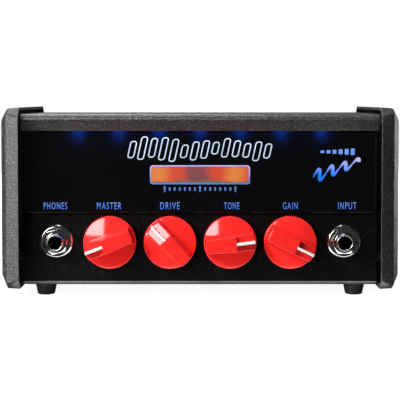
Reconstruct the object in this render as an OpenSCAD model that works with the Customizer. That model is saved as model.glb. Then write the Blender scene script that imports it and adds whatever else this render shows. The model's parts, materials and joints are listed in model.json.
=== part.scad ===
// Desktop guitar amplifier head: bent steel chassis and cover between two pressed side cheeks,
// an edge-lit acrylic fascia, four rotary controls and two quarter-inch sockets on the front.
// +Z is up, the controls face -Y, and the origin is on the table under the middle of the box.

/* [Body] */
// Overall width over the two cheeks
body_w = 195; // [190:1:205]
// Overall depth, from the knob faces to the end of the rear speaker socket
body_d = 108; // [106:1:116]
// Overall height, from the table to the top of the cheeks
body_h = 94; // [92:1:100]
// Height of the chassis floor above the table
foot_h = 5.6; // [5:0.2:7]

/* [Cheeks] */
// Depth of a cheek pressing, front to back
cheek_d = 99.5; // [98:0.5:100]
// Width of a cheek pressing, from its open rim to its outer face
cheek_w = 9.1; // [8:0.1:11]
// Sheet thickness of a cheek
cheek_sheet = 1.5; // [1:0.1:1.8]
// Height of a cheek's bottom rim above the table
cheek_low = 4.4; // [3:0.2:5]

/* [Chassis and cover] */
// Sheet thickness of the chassis and the cover
sheet = 1.2; // [1:0.1:1.5]
// Drop from the top of the cheeks to the top of the cover
cover_drop = 3.4; // [2.8:0.2:4]
// Height of the sloping visor at the front of the cover
visor_h = 8.2; // [8:0.2:9]
// Distance from the front of the cheeks back to the steel front panel
panel_set = 12.5; // [12:0.5:13]
// Number of ventilation slots in each of the two rows of the cover
vent_count = 9; // [3:1:12]

/* [Fascia] */
// Thickness of the acrylic fascia
fascia_t = 2; // [1.5:0.1:2.4]
// Height of the fascia's lower edge above the table
fascia_low = 41.8; // [41.6:0.1:46]
// Width of the glowing window
window_w = 49; // [40:1:55]
// Height of the glowing window
window_h = 8.9; // [7:0.1:11]
// Height of the glowing window's centre above the table
window_z = 60.6; // [58:0.2:64]
// Number of light-emitting diodes along the top edge of the fascia
led_count = 7; // [5:2:9]
// Distance between two of these diodes
led_pitch = 20; // [16:1:20]

/* [Controls] */
// Height of the controls' centres above the table
control_z = 27.3; // [27:0.1:28]
// Distance between two knobs
knob_pitch = 29.7; // [28:0.1:31]
// Diameter of a knob
knob_dia = 25.9; // [22:0.1:27]
// Distance from the front panel to the face of a knob
knob_h = 16.5; // [16:0.1:18]
// Angle of each knob's pointer, clockwise from straight up
knob_turn = [-111, -45, 84, 116];
// Distance of each front socket from the middle
jack_x = 71.5; // [70:0.5:75]

/* [Rear panel] */
// Place of the speaker socket across the box
speaker_x = -62; // [-70:1:-55]
// Place of the small line-in socket across the box
aux_x = -32; // [-40:1:-25]
// Place of the resonance button across the box
button_x = -12; // [-16:1:-10]
// Place of the power inlet across the box
inlet_x = 30; // [25:1:38]
// Place of the power rocker across the box
rocker_x = 62; // [55:1:70]

/* [Hidden] */
$fn = 64;
KNOBS = ["volume", "drive", "tone", "gain"];
FEET = ["foot_front_left", "foot_front_right", "foot_rear_left", "foot_rear_right"];

eps = 0.01;
gap = 0.2;                      // assembly gap between sheet parts
socket_h = 6.8;                 // how far a quarter-inch socket's bushing stands out of its panel
front_y = -body_d / 2 + knob_h - panel_set;
back_y = front_y + cheek_d;
panel_y = front_y + panel_set;  // outer face of the steel front panel
rear_y = body_d / 2 - socket_h; // outer face of the rear panel
rim_x = body_w / 2 - cheek_w;   // open rim of a cheek
side_x = rim_x - 0.5;           // outer face of a side plate
cover_top = body_h - cover_drop;
cover_under = cover_top - sheet;
floor_top = foot_h + sheet;
bend_r = 1.8;                   // outer radius of the chassis bends

board_t = 1.6;
board_top = control_z - 8.1;
board_x = side_x - 4;
board_front = panel_y + sheet + 0.8;
board_back = rear_y - sheet - 2.5;
standoff_x = [-76, 0, 76];
standoff_y = [-3, 28];
cover_screw_x = [-76, 0, 76];
cover_screw_z = cover_top - 7;

foot_x = 77.5;
foot_front = front_y + 20;
foot_rear = back_y - 14;
foot_r = 5.4;

cheek_screw_y = 32;
cheek_screw_z = [19, 79];
screw_r = 1.5;
screw_head_r = 2.8;

pot_r = 8.1;
pot_depth = 8;
shaft_r = 3;
bushing_r = 3.5;

jack_body = 16.2;
jack_depth = 27;
jack_bore_r = 3.25;
jack_thread_r = 4.45;
washer_r = 8.3;
washer_t = 1.2;

aux_bore_r = 1.8;
inlet_bore_r = 2.85;
inlet_pin_r = 1;
rocker_z = 32;
rocker_rest = 9;                // the rocker lies tilted this much, on side down
rocker_w = 9.6;
rocker_half = 7.6;
rocker_pivot = 0.2;             // pivot height outside the rear panel
bezel_t = 2;
button_r = 3.3;
button_out = 4.5;

// Knob shape, in heights above the front panel and distances from the knob's axis
skirt = 6.4;                    // top of the round skirt
grip_r = 12;                    // reach of the grip bar at its top
notch_from = 3.1;               // the pointer's notch starts here and runs out to the rim
notch_inner = 1.5;              // depth of the notch at its start
notch_outer = 3.5;              // and at the rim
pointer_t = 1.3;
pointer_low = 11.3;
shaft_top = 10.4;

// A point list along a round bend
function arc(cx, cy, r, from, to, steps = 6) =
    [for (i = [0:steps]) let (a = from + (to - from) * i / steps) [cx + r * cos(a), cy + r * sin(a)]];

// Unit normal on the left of the step from p to q
function left_of(p, q) = let (d = q - p, n = norm(d)) [-d.y, d.x] / n;

// An open outline moved sideways by t, to its left, with mitred corners
function beside(path, t) = [for (i = [0:len(path) - 1])
    let (a = left_of(path[max(i - 1, 0)], path[max(i, 1)]),
         b = left_of(path[min(i, len(path) - 2)], path[min(i + 1, len(path) - 1)]))
    path[i] + (a + b) * t / (1 + a * b)];

// The section of a bent sheet of thickness t on the left of an open outline
function sheet_section(path, t) =
    let (inner = beside(path, t)) concat(path, [for (i = [len(inner) - 1:-1:0]) inner[i]]);

// A rectangle with its four corners cut, in [low, high] corners, by cut.x along X and cut.y along Y
function cut_corners(low, high, cut) = [
    [low.x + cut.x, low.y], [high.x - cut.x, low.y], [high.x, low.y + cut.y], [high.x, high.y - cut.y],
    [high.x - cut.x, high.y], [low.x + cut.x, high.y], [low.x, high.y - cut.y], [low.x, low.y + cut.y]];

// Corner cut of the same shape after its outline moves in by t
function inner_cut(cut, t) = let (edge = norm(cut)) [
    (cut.x * cut.y + t * edge - t * cut.x) / cut.y - t,
    (cut.x * cut.y + t * edge - t * cut.y) / cut.x - t];

// Sections drawn in (Y, Z) run along X, in (X, Z) along Y, and in (X, Y) along Z
module along_x(from, to) {
    translate([from, 0, 0]) rotate([90, 0, 90]) linear_extrude(to - from) children();
}

module along_y(from, to) {
    translate([0, to, 0]) rotate([90, 0, 0]) linear_extrude(to - from) children();
}

module along_z(from, to) {
    translate([0, 0, from]) linear_extrude(to - from) children();
}

// Puts a shape whose +Z points out of the panel at a place on the front or the rear panel
module on_front(x, z) {
    translate([x, panel_y, z]) rotate([90, 0, 0]) children();
}

module on_rear(x, z) {
    translate([x, rear_y, z]) rotate([-90, 0, 0]) children();
}

module tube(r, bore, from, to) {
    translate([0, 0, from]) difference() {
        cylinder(r = r, h = to - from);
        translate([0, 0, -1]) cylinder(r = bore, h = to - from + 2);
    }
}

module hex_nut(across_flats, bore, from, to) {
    translate([0, 0, from]) difference() {
        cylinder(d = across_flats / cos(30), h = to - from, $fn = 6);
        translate([0, 0, -1]) cylinder(r = bore, h = to - from + 2);
    }
}

module slot_2d(length, width) {
    for (side = [-1, 1]) translate([side * (length - width) / 2, 0]) circle(d = width);
    square([length - width, width], center = true);
}

// ---- Sheet metal ----

module chassis() {
    outline = concat(
        [[panel_y, cover_under - 0.1]],
        arc(panel_y + bend_r, foot_h + bend_r, bend_r, 180, 270),
        arc(rear_y - bend_r, foot_h + bend_r, bend_r, 270, 360),
        [[rear_y, cover_top - 0.2]]);
    color("#1c1c1e") difference() {
        along_x(-side_x, side_x) polygon(sheet_section(outline, sheet));
        for (i = [0:3]) on_front(knob_x(i), control_z)
            translate([0, 0, -5]) cylinder(r = bushing_r + 0.1, h = 10);
        for (side = [-1, 1]) on_front(side * jack_x, control_z)
            translate([0, 0, -5]) cylinder(r = jack_thread_r + 0.1, h = 10);
        along_y(panel_y - 5, panel_y + 5)
            translate([0, window_z]) square([window_w + 0.4, window_h + 0.4], center = true);
        on_rear(speaker_x, control_z) translate([0, 0, -5]) cylinder(r = jack_thread_r + 0.1, h = 10);
        on_rear(aux_x, control_z) translate([0, 0, -5]) cylinder(r = 3.1, h = 10);
        on_rear(inlet_x, control_z) translate([0, 0, -5]) cylinder(r = 4.1, h = 10);
        on_rear(button_x, control_z) translate([0, 0, -5]) cylinder(r = button_r + 0.3, h = 10);
        along_y(rear_y - 5, rear_y + 5) translate([rocker_x, rocker_z]) square([13, 19.4], center = true);
        for (x = cover_screw_x) on_rear(x, cover_screw_z)
            translate([0, 0, -5]) cylinder(r = screw_r + 0.1, h = 10);
        for (x = [-1, 1], y = [foot_front, foot_rear])
            translate([x * foot_x, y, 0]) cylinder(r = screw_r + 0.1, h = 12);
        for (x = standoff_x, y = standoff_y) translate([x, y, 0]) cylinder(r = screw_r + 0.1, h = 12);
    }
}

module top_cover() {
    outline = concat(
        [[rear_y - sheet - 0.1, cover_top - 12]],
        arc(rear_y - sheet - 0.1 - bend_r, cover_top - bend_r, bend_r, 0, 90),
        arc(front_y + 8.2, cover_top - 2.4, 2.4, 90, 205),
        [[front_y + 9.2, cover_top - visor_h]]);
    color("#1a1a1b") difference() {
        along_x(-rim_x + 0.3, rim_x - 0.3) polygon(sheet_section(outline, sheet));
        for (i = [0:vent_count - 1], row = [0, 1])
            translate([(i - (vent_count - 1) / 2) * 9, 2 + row * 26, cover_top - 5]) rotate([0, 0, 90])
                linear_extrude(10) slot_2d(20, 2.4);
        for (x = cover_screw_x) on_rear(x, cover_screw_z)
            translate([0, 0, -8]) cylinder(r = screw_r + 0.02, h = 10);
    }
}

// The three outlines that meet in a cheek, moved in by t: from above, from the front and from the side
module cheek_block(t, rim) {
    outer = body_w / 2;
    above = [[rim_x, back_y], [outer - 2.7, back_y - 2.6], [outer, back_y - 6.1],
        [outer, front_y + 6.1], [outer - 2.7, front_y + 2.6], [rim_x, front_y]];
    front = [[rim_x, cheek_low], [outer - 3.2, cheek_low + 0.4], [outer, cheek_low + 6.4],
        [outer, body_h - 5.9], [outer - 3.2, body_h - 0.5], [rim_x, body_h]];
    side_cut = inner_cut([6, 4.8], t);
    a = beside(above, -t);
    f = beside(front, t);
    intersection() {
        along_z(-1, body_h + 1) polygon(concat([[rim, a[0].y]], a, [[rim, a[len(a) - 1].y]]));
        along_y(front_y - 1, back_y + 1) polygon(concat([[rim, f[0].y]], f, [[rim, f[len(f) - 1].y]]));
        along_x(rim, outer + 1)
            polygon(cut_corners([front_y + t, cheek_low + t], [back_y - t, body_h - t], side_cut));
    }
}

module cheek() {
    color("#1d1d1e") difference() {
        cheek_block(0, rim_x);
        cheek_block(cheek_sheet, rim_x - 2);
        for (y = [-1, 1], z = cheek_screw_z)
            translate([body_w / 2 + eps, y * cheek_screw_y, z]) rotate([0, -90, 0]) {
                cylinder(r1 = screw_head_r + 0.15, r2 = screw_r + 0.1, h = 1.4);
                cylinder(r = screw_r + 0.1, h = 4);
            }
    }
}

module side_plate() {
    flange = 8;
    color("#2a2a2c") difference() {
        translate([side_x - flange, panel_y + bend_r, floor_top])
            cube([flange, rear_y - panel_y - bend_r - 2 * sheet - 0.3, cover_under - 0.1 - floor_top]);
        translate([side_x - flange - 1, panel_y, floor_top + sheet])
            cube([flange + 1 - sheet, rear_y - panel_y, cover_under - 0.1 - floor_top - 2 * sheet]);
        for (y = [-1, 1], z = cheek_screw_z)
            translate([side_x - 3, y * cheek_screw_y, z]) rotate([0, 90, 0]) cylinder(r = 2, h = 6);
    }
}

module cheek_spacers() {
    reach = body_w / 2 - cheek_sheet - side_x;
    color("silver") for (side = [0, 1], y = [-1, 1], z = cheek_screw_z) mirror([side, 0, 0])
        translate([side_x, y * cheek_screw_y, z]) rotate([0, 90, 0]) difference() {
            union() {
                cylinder(r = 3, h = reach);
                translate([0, 0, -sheet]) cylinder(r = 2, h = sheet + eps);
            }
            translate([0, 0, -2]) cylinder(r = screw_r + 0.02, h = reach + 4);
        }
}

module cheek_screws() {
    color("#303032") for (side = [0, 1], y = [-1, 1], z = cheek_screw_z) mirror([side, 0, 0])
        translate([body_w / 2 - 0.1, y * cheek_screw_y, z]) rotate([0, -90, 0]) difference() {
            union() {
                cylinder(r1 = screw_head_r, r2 = screw_r, h = 1.3);
                cylinder(r = screw_r, h = 8);
            }
            translate([0, 0, -eps]) cylinder(d = 2, h = 1, $fn = 6);
        }
}

// ---- Fascia and its lighting ----

module fascia() {
    color("#0b0b10") difference() {
        along_y(panel_y - fascia_t, panel_y - eps) translate([-side_x + 0.4, fascia_low])
            square([2 * side_x - 0.8, cover_top - visor_h + 1.8 - fascia_low]);
        along_y(panel_y - fascia_t - 1, panel_y + 1) translate([0, window_z]) window_2d(0.1);
    }
}

module window_2d(grow) {
    half = [window_w / 2 + grow, window_h / 2 + grow];
    r = 1.2 + grow;
    for (x = [-1, 1], y = [-1, 1]) translate([x * (half.x - r), y * (half.y - r)]) circle(r);
    square([2 * half.x, 2 * half.y - 2 * r], center = true);
    square([2 * half.x - 2 * r, 2 * half.y], center = true);
}

module glow_window() {
    back = panel_y + sheet;
    color("#ff6a1a") {
        along_y(panel_y - fascia_t, back + gap + eps) translate([0, window_z]) window_2d(0);
        along_y(back + gap, back + 1.7)
            translate([0, window_z]) square([window_w + 8, window_h + 5], center = true);
        for (side = [-1, 1]) along_y(back + 1.6, back + 4)
            translate([side * (window_w / 2 + 2.5), window_z]) square([3, window_h + 5], center = true);
    }
}

module glow_board() {
    back = panel_y + sheet + 4;
    color("#1f5a34") along_y(back, back + 1.2)
        translate([0, window_z]) square([window_w + 8, window_h + 9], center = true);
}

module glow_leds() {
    back = panel_y + sheet + 4;
    color("#ffd9a0") for (i = [-3:3]) along_y(back - 1.1, back)
        translate([i * window_w / 7.5, window_z]) square([3.5, 2.8], center = true);
}

module led_board() {
    length = (led_count - 1) * led_pitch + 12;
    color("#1f5a34") along_y(panel_y - 1, panel_y - eps)
        translate([-length / 2, cover_top - visor_h + 2.4]) square([length, 4]);
}

module leds() {
    color("#9fc4ff") for (i = [0:led_count - 1]) along_y(panel_y - 2.4, panel_y - 1)
        translate([(i - (led_count - 1) / 2) * led_pitch, cover_top - visor_h + 3.2])
            square([3.2, 1.6], center = true);
}

// ---- Rotary controls ----

function knob_x(i) = (i - 1.5) * knob_pitch;

// The bar that the fingers hold, with straight ends on the rim
module knob_grip(low) {
    foot = 4.6;
    top = 3.72;
    intersection() {
        rotate([90, 0, 0]) translate([0, 0, -knob_dia / 2]) linear_extrude(knob_dia) polygon([
            [-foot, low + 1], [foot, low + 1], [foot, skirt - 0.6],
            [top, knob_h], [-top, knob_h], [-foot, skirt - 0.6]]);
        translate([0, 0, low]) cylinder(r1 = knob_dia / 2 - 0.1, r2 = grip_r, h = knob_h - low);
    }
}

// A slot along the pointer's line, from the notch's inner wall out past the rim
module pointer_slot() {
    translate([-pointer_t / 2, notch_from, pointer_low]) cube([pointer_t, knob_dia, knob_h - pointer_low]);
}

module knob_body(turn) {
    low = 1;
    r = knob_dia / 2;
    color("#e0261c") rotate([0, 0, -turn]) difference() {
        union() {
            rotate_extrude() polygon(concat(
                [[0, low], [r, low]],
                arc(r - 0.9, skirt - 1.3, 0.9, 0, 75),
                [[0, skirt]]));
            knob_grip(low);
        }
        cylinder(r = 7.6, h = 5.3);
        cylinder(r = shaft_r, h = shaft_top + 0.1);
        translate([-r, 0, 0]) rotate([90, 0, 90]) linear_extrude(knob_dia) polygon([
            [notch_from, knob_h + 1], [notch_from, knob_h - notch_inner],
            [r, knob_h - notch_outer], [r, knob_h + 1]]);
        pointer_slot();
    }
}

module knob_pointer(turn) {
    color("#f2efe6") rotate([0, 0, -turn]) intersection() {
        pointer_slot();
        translate([0, 0, 1]) cylinder(r1 = knob_dia / 2 - 0.1, r2 = grip_r, h = knob_h - 1);
    }
}

module pot_shaft() {
    low = -sheet - pot_depth + 1;
    color("#b9bcc0") translate([0, 0, low]) cylinder(r = shaft_r, h = shaft_top - low);
}

module pot_body() {
    color("#8b8f94") difference() {
        union() {
            translate([0, 0, -sheet - pot_depth]) cylinder(r = pot_r, h = pot_depth);
            translate([0, 0, -sheet - eps]) cylinder(r = bushing_r, h = sheet + 4.8);
            for (x = [-5, 0, 5]) translate([x - 0.5, -pot_r, -sheet - 6]) cube([1, 4, 0.8]);
        }
        translate([0, 0, -sheet - pot_depth + 0.8]) cylinder(r = shaft_r + 0.06, h = 20);
    }
}

module pot_washers() {
    color("silver") for (i = [0:3]) on_front(knob_x(i), control_z) tube(6, bushing_r + 0.05, 0, 0.5);
}

module pot_nuts() {
    color("silver") for (i = [0:3]) on_front(knob_x(i), control_z) hex_nut(10, bushing_r + 0.02, 0.5, 2.6);
}

// ---- Sockets ----

module jack() {
    color("#26262a") difference() {
        union() {
            translate([-jack_body / 2, -jack_body / 2, -sheet - jack_depth])
                cube([jack_body, jack_body, jack_depth]);
            translate([0, 0, -sheet - eps]) cylinder(r = jack_thread_r, h = sheet + socket_h + eps);
        }
        translate([0, 0, -sheet - jack_depth + 2]) cylinder(r = jack_bore_r, h = 60);
        translate([-1.6, 0, -sheet - jack_depth + 2]) cube([3.2, 5.6, 15]);
    }
}

module jack_contacts() {
    color("#d8d2c0") for (place = [[-1, 0], [1, 0], [0, 1]]) jack_place(place)
        translate([-1.4, jack_bore_r + 0.2, -sheet - jack_depth + 2.2]) rotate([90, 0, 90]) linear_extrude(2.8)
            polygon([[1.6, 0], [2, 0], [2, 14], [1.6, 14], [0.1, 8], [0.5, 8]]);
}

module jack_place(place) {
    if (place.y == 0) on_front(place.x * jack_x, control_z) children();
    else on_rear(speaker_x, control_z) rotate([0, 0, 180]) children();
}

module jack_washers() {
    color("silver") for (place = [[-1, 0], [1, 0], [0, 1]]) jack_place(place) difference() {
        union() {
            cylinder(r = washer_r, h = washer_t - 0.5);
            translate([0, 0, washer_t - 0.5]) cylinder(r1 = washer_r, r2 = washer_r - 0.9, h = 0.5);
        }
        translate([0, 0, -1]) cylinder(r = jack_thread_r + 0.1, h = 4);
    }
}

module jack_nuts() {
    color("silver") for (place = [[-1, 0, -15], [1, 0, 0], [0, 1, 10]]) jack_place(place) rotate([0, 0, place.z])
        hex_nut(11.4, jack_thread_r + 0.02, washer_t, washer_t + 2.6);
}

module aux_jack() {
    color("#26262a") on_rear(aux_x, control_z) difference() {
        union() {
            translate([-5, -4.5, -sheet - 14]) cube([10, 4.5 + control_z - board_top, 14]);
            translate([0, 0, -sheet - eps]) cylinder(r = 3, h = sheet + 4.5);
        }
        translate([0, 0, -sheet - 12]) cylinder(r = aux_bore_r, h = 30);
    }
}

module aux_nut() {
    color("silver") on_rear(aux_x, control_z) tube(4.6, 3.02, 0, 2.2);
}

module dc_inlet() {
    color("#202022") on_rear(inlet_x, control_z) {
        difference() {
            union() {
                translate([-5.5, -5.5, -sheet - 14]) cube([11, 5.5 + control_z - board_top, 14]);
                translate([0, 0, -sheet - eps]) cylinder(r = 4, h = sheet + 5);
            }
            translate([0, 0, -sheet - 5]) cylinder(r = inlet_bore_r, h = 30);
        }
        translate([0, 0, -sheet - 5 - eps]) cylinder(r = inlet_pin_r, h = 9.5);
    }
}

module dc_inlet_nut() {
    color("silver") on_rear(inlet_x, control_z) hex_nut(10.5, 4.02, 0, 2.2);
}

// ---- Switches ----

module power_switch() {
    cavity = [rocker_w + 0.4, 2 * rocker_half + 1.8];
    color("#18181a") on_rear(rocker_x, rocker_z) difference() {
        union() {
            translate([-7.5, -10.5, 0]) linear_extrude(bezel_t) round_plate([15, 21], 1.2);
            translate([-6.3, -9.5, -sheet - 13]) cube([12.6, 19, sheet + 13 + eps]);
        }
        translate([-cavity.x / 2, -cavity.y / 2, -sheet - 6]) cube([cavity.x, cavity.y, 20]);
        translate([-5.9, 0, rocker_pivot]) rotate([0, 90, 0]) cylinder(r = 1.06, h = 11.8);
    }
}

// A plate outline with round corners and its corner at the origin
module round_plate(size, r) {
    for (x = [r, size.x - r], y = [r, size.y - r]) translate([x, y]) circle(r);
    translate([0, r]) square([size.x, size.y - 2 * r]);
    translate([r, 0]) square([size.x - 2 * r, size.y]);
}

// Tilted about its pivot, with a pressed half and a raised half
module power_rocker() {
    color("#b3131a") on_rear(rocker_x, rocker_z) translate([0, 0, rocker_pivot]) rotate([rocker_rest, 0, 0]) {
        translate([-rocker_w / 2, 0, 0]) rotate([90, 0, 90]) linear_extrude(rocker_w)
            polygon([[-rocker_half, 3.2], [-rocker_half, -1], [-4, -4], [4, -4],
                [rocker_half, -1], [rocker_half, 3.2], [0, 2.1]]);
        translate([-rocker_w / 2 - 0.9, 0, 0]) rotate([0, 90, 0]) cylinder(r = 1, h = rocker_w + 1.8);
    }
}

module resonance_switch() {
    color("#5c6066") on_rear(button_x, control_z) difference() {
        translate([-4, -4, -sheet - 16]) cube([8, 4 + control_z - board_top, 12]);
        translate([-1.7, -1.7, -sheet - 12]) cube([3.4, 3.4, 20]);
    }
}

module resonance_button() {
    color("#2b2b2e") on_rear(button_x, control_z) {
        translate([0, 0, -1.6]) cylinder(r = button_r, h = button_out + 1.1);
        translate([0, 0, button_out - 0.5]) cylinder(r1 = button_r, r2 = button_r - 0.5, h = 0.5);
        translate([-1.5, -1.5, -sheet - 9]) cube([3, 3, 9]);
    }
}

// ---- Electronics ----

module main_board() {
    color("#1f5a34") difference() {
        translate([-board_x, board_front, board_top - board_t])
            cube([2 * board_x, board_back - board_front, board_t]);
        for (x = standoff_x, y = standoff_y)
            translate([x, y, board_top - 5]) cylinder(r = screw_r + 0.1, h = 10);
    }
}

module capacitors() {
    color("#2b2e4a") for (side = [0, 1]) {
        translate([-38 + 18 * side, 8, board_top]) cylinder(r = 7, h = 22);
        translate([62 + 12 * side, 8, board_top]) cylinder(r = 5, h = 16);
    }
}

module heat_sink() {
    fin_count = 9;
    color("#5a5d61") translate([12, 8, board_top]) {
        cube([44, 22, 3]);
        for (i = [0:fin_count - 1]) translate([i * (44 - 1.4) / (fin_count - 1), 0, 2.9]) cube([1.4, 22, 17]);
    }
}

module chokes() {
    color("#3a3a3c") for (x = [-66, -52]) translate([x, 5, board_top]) difference() {
        cylinder(r = 6, h = 8);
        translate([0, 0, 7.2]) cylinder(r = 2, h = 2);
    }
}

module chips() {
    color("#161618") {
        for (x = [-30, -14, 2]) translate([x, -18, board_top]) cube([10, 6, 1.6]);
        translate([20, -14, board_top]) cube([12, 12, 1.4]);
        translate([6, 34, board_top]) cube([14, 5, 1.6]);
    }
}

// A flat cable from the window's lighting board down to the main board
module ribbon_cable() {
    top = [panel_y + sheet + 5.2, window_z - 2];
    drop = concat(
        [top],
        arc(top.x + 3, board_top + 9, 3, 180, 225, 4),
        [[top.x + 6, board_top + 3], [top.x + 6, board_top]]);
    color("#8d9299") along_x(-5, 5) polygon(sheet_section(drop, 0.9));
}

module board_standoffs() {
    color("#c2a24a") for (x = standoff_x, y = standoff_y) translate([x, y, 0])
        hex_nut(5.5, screw_r + 0.02, floor_top, board_top - board_t);
}

module board_screws() {
    color("silver") for (x = standoff_x, y = standoff_y) translate([x, y, board_top]) pan_screw(2.7, 1.8, 5);
}

// A pan-head screw: its head stands above z = 0 and its shank goes down
module pan_screw(head_r, head_h, length) {
    difference() {
        union() {
            rotate_extrude() polygon(concat([[0, 0], [head_r, 0]],
                arc(head_r - 0.9, head_h - 0.9, 0.9, 0, 90, 4), [[0, head_h]]));
            translate([0, 0, -length]) cylinder(r = screw_r, h = length + eps);
        }
        for (a = [0, 90]) rotate([0, 0, a]) translate([-1.4, -0.25, head_h - 0.9]) cube([2.8, 0.5, 2]);
    }
}

module cover_screws() {
    color("#303032") for (x = cover_screw_x) on_rear(x, cover_screw_z) pan_screw(2.7, 1.8, 5);
}

// ---- Feet ----

module foot(index) {
    x = index % 2 == 0 ? -foot_x : foot_x;
    y = index < 2 ? foot_front : foot_rear;
    color("#121212") translate([x, y, 0]) difference() {
        rotate_extrude() polygon(concat(
            [[0, 0]],
            arc(foot_r - 1.8, 0.8, 0.8, 270, 350, 4),
            [[foot_r, foot_h], [0, foot_h]]));
        translate([0, 0, -1]) cylinder(r = 2.7, h = 3.8);
        cylinder(r = screw_r + 0.1, h = foot_h + 1);
    }
}

module foot_screws() {
    color("silver") for (x = [-foot_x, foot_x], y = [foot_front, foot_rear])
        translate([x, y, 2.8]) mirror([0, 0, 1]) pan_screw(2.5, 1.6, foot_h);
}

chassis();
top_cover();
mirror([1, 0, 0]) cheek();  // left_cheek
cheek();  // right_cheek
mirror([1, 0, 0]) side_plate();  // left_side_plate
side_plate();  // right_side_plate
fascia();
glow_window();
glow_board();
glow_leds();
led_board();
leds();
for (i = [0:3]) {
    on_front(knob_x(i), control_z) knob_body(knob_turn[i]);
    on_front(knob_x(i), control_z) knob_pointer(knob_turn[i]);
    on_front(knob_x(i), control_z) pot_shaft();
    on_front(knob_x(i), control_z) pot_body();
    foot(i);
}
pot_washers();
pot_nuts();
on_front(-jack_x, control_z) jack();  // phones_jack
on_front(jack_x, control_z) jack();  // input_jack
on_rear(speaker_x, control_z) rotate([0, 0, 180]) jack();  // speaker_jack
jack_contacts();
jack_washers();
jack_nuts();
aux_jack();
aux_nut();
dc_inlet();
dc_inlet_nut();
power_switch();
power_rocker();
resonance_switch();
resonance_button();
main_board();
capacitors();
heat_sink();
chokes();
chips();
ribbon_cable();
board_standoffs();
board_screws();
cover_screws();
cheek_screws();
cheek_spacers();
foot_screws();
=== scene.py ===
"""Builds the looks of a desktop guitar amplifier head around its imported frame: painted sheet steel,
an edge-lit acrylic fascia, moulded knobs and nickel sockets."""

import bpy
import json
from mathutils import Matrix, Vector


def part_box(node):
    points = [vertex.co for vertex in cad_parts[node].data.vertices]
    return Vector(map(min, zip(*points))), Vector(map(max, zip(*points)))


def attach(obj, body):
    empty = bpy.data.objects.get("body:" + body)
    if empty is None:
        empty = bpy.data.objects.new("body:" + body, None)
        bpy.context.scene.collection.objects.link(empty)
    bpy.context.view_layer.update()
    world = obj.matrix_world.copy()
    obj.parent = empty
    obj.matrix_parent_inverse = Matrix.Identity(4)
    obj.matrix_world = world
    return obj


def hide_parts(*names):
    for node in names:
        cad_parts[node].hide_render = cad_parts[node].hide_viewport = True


bl_info = {
    "name": "Desktop Amplifier Head",
    "version": (1, 0, 0),
    "blender": (4, 5, 0),
    "location": "3D View > Sidebar > Amp Head",
    "description": "Builds the painted, glowing and plated surfaces of a desktop amplifier head",
    "category": "Add Mesh",
}

import json
import math

import bmesh
import bpy
import numpy as np
from mathutils import Euler, Vector
from mathutils.geometry import tessellate_polygon

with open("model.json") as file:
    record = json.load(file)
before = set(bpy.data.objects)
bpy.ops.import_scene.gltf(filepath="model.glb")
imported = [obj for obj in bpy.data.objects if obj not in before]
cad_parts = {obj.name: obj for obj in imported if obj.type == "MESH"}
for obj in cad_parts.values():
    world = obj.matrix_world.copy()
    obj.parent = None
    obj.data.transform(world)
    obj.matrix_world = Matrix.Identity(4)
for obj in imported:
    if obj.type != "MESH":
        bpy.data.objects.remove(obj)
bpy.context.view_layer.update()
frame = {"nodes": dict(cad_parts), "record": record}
MM = 0.001
BLACK = (0, 0, 0, 1)
KNOBS = ("volume", "drive", "tone", "gain")


def span(node):
    """The lowest and highest corner of a frame node, in millimetres."""
    return np.array(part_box(node)) / MM


def middle(node):
    return span(node).mean(axis=0)


FASCIA = span("fascia")
CHEEK = span("right_cheek")
COVER = span("top_cover")
CHASSIS = span("chassis")
WINDOW = span("glow_window")
PANEL_Y = CHASSIS[0][1]                # outer face of the front panel
REAR_Y = CHASSIS[1][1]                 # outer face of the rear panel
CONTROL_Z = middle("phones_jack")[2]
TURNS = {"volume": -111, "drive": -45, "tone": 84, "gain": 116}
SHEET = 1.2                            # thickness of the bent steel sheets
CHEEK_SHEET = 1.5                      # thickness of a cheek
BEND = 1.8                             # outer radius of the bends in the sheets
VISOR = 8.2                            # height of the cover's sloping front
SCREW_R = 1.6                          # a clearance hole for a 3 mm screw
THREAD_HOLE_R = 4.55                   # a panel's hole for a quarter-inch socket
KNOB_PITCH = 29.7
KNOB_FACE = 16.5                       # height of a knob's grip above the panel
ENGRAVED = (FASCIA[0][1] - 0.06, FASCIA[0][1] - 0.01)


# ---- Sizes and colours that a user changes ----

def colour_setting(name, description, default):
    return bpy.props.FloatVectorProperty(
        name=name, description=description, subtype="COLOR", size=3, min=0, max=1, default=default)


def length_setting(name, description, default, low, high):
    return bpy.props.FloatProperty(
        name=name, description=description, unit="LENGTH", default=default, min=low, max=high)


def watts_setting(name, description, default):
    return bpy.props.FloatProperty(
        name=name, description=description + ", in watts", default=default, min=0.0, max=100.0)


class AmpBodySettings(bpy.types.PropertyGroup):
    """Painted steel parts."""
    paint_colour: colour_setting("Paint", "Colour of the black texture paint", (0.022, 0.022, 0.023))
    grain_size: length_setting(
        "Grain Size", "Width of one cell of the leather-like paint", 0.0007, 0.0003, 0.004)
    edge_radius: length_setting("Edge Radius", "Rounding of the cheeks' folded edges", 0.0007, 0.0002, 0.0015)


class AmpGlowSettings(bpy.types.PropertyGroup):
    """The lit fascia."""
    led_colour: colour_setting("Light Spots", "Colour of the light spots under the visor", (0.0, 0.022, 0.19))
    engraving_colour: colour_setting("Engraving", "Colour of the lit engraving", (0.55, 0.72, 1.0))
    window_colour: colour_setting("Window", "Colour of the glowing window", (0.72, 0.075, 0.03))
    led_pitch: length_setting("Spot Spacing", "Distance between two light spots", 0.020, 0.010, 0.040)


class AmpKnobSettings(bpy.types.PropertyGroup):
    """The moulded knobs."""
    knob_colour: colour_setting("Knob", "Colour of the moulded knobs", (0.92, 0.024, 0.02))
    pointer_colour: colour_setting("Pointer", "Colour of the pointer fins", (0.88, 0.84, 0.78))
    edge_radius: length_setting("Edge Radius", "Rounding of the grip bar's edges", 0.0005, 0.0001, 0.001)


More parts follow.
